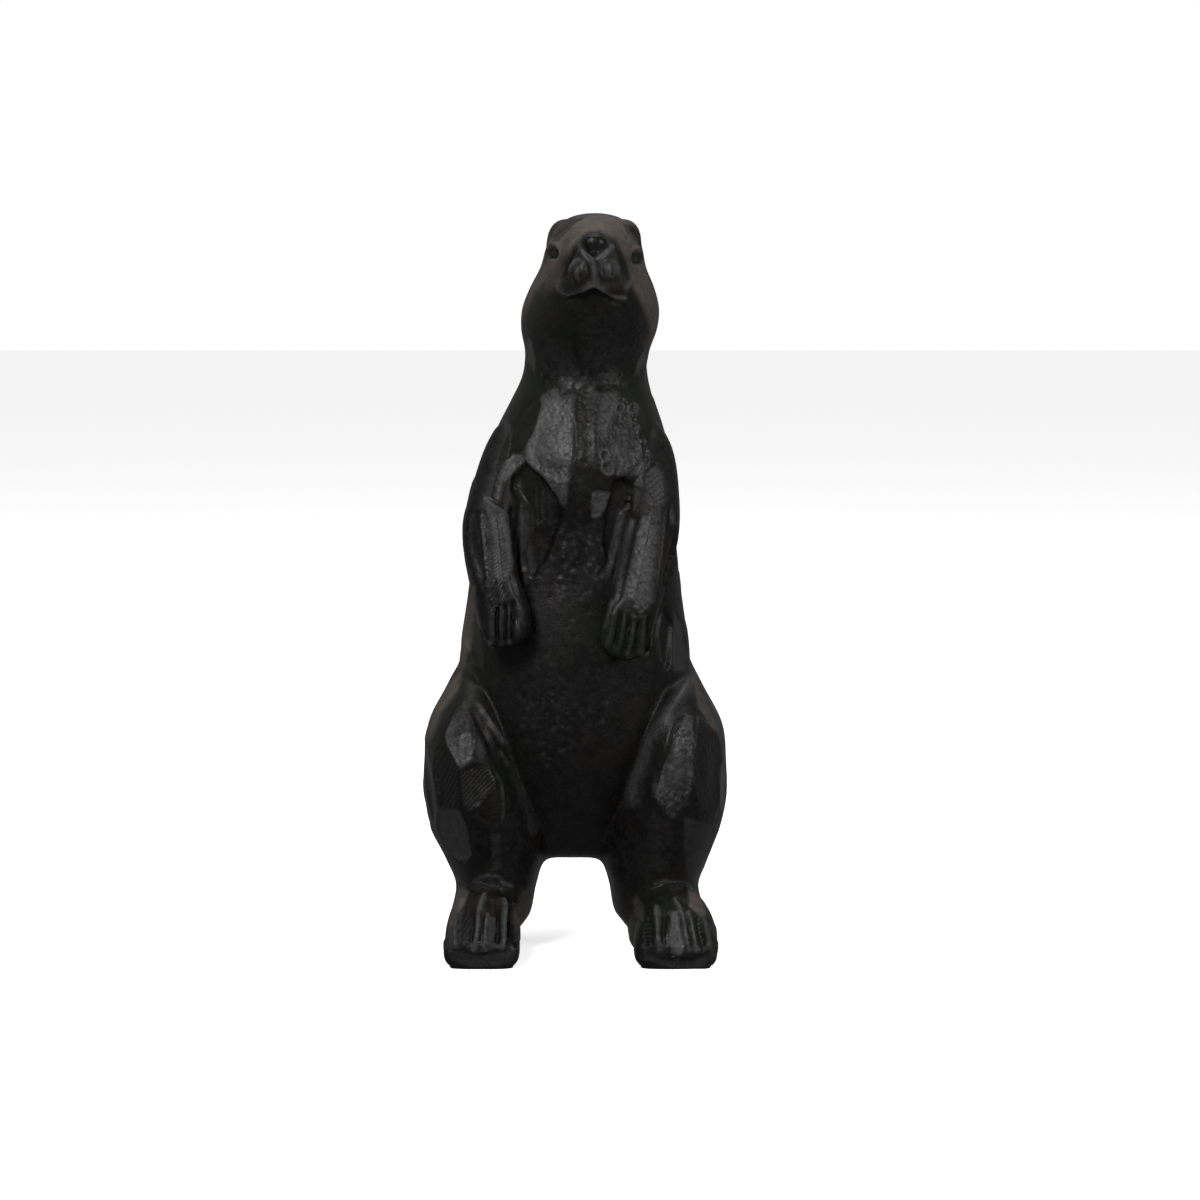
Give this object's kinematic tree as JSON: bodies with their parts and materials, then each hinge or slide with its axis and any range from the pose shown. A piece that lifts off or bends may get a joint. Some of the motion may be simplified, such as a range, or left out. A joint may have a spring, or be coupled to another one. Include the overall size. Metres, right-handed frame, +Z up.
{
  "type": "rabbit figurine",
  "caption": "Upright stone animal figurine on its hind legs, head thrown back, forearms hanging on its belly, standing on its flat feet.",
  "frame": {"origin": "on the ground under the middle of the figure", "axes": "+Z up, the figure faces -Y and its own left side is towards +X"},
  "size_m": [0.104, 0.0962, 0.2514],
  "materials": {
    "black_stone": "near-black stone, hand carved in planes, partly polished, with tool marks, pits and worn brown edges"
  },
  "bodies": {
    "root": {"rabbit_figurine": "black_stone"}
  },
  "joints": []
}
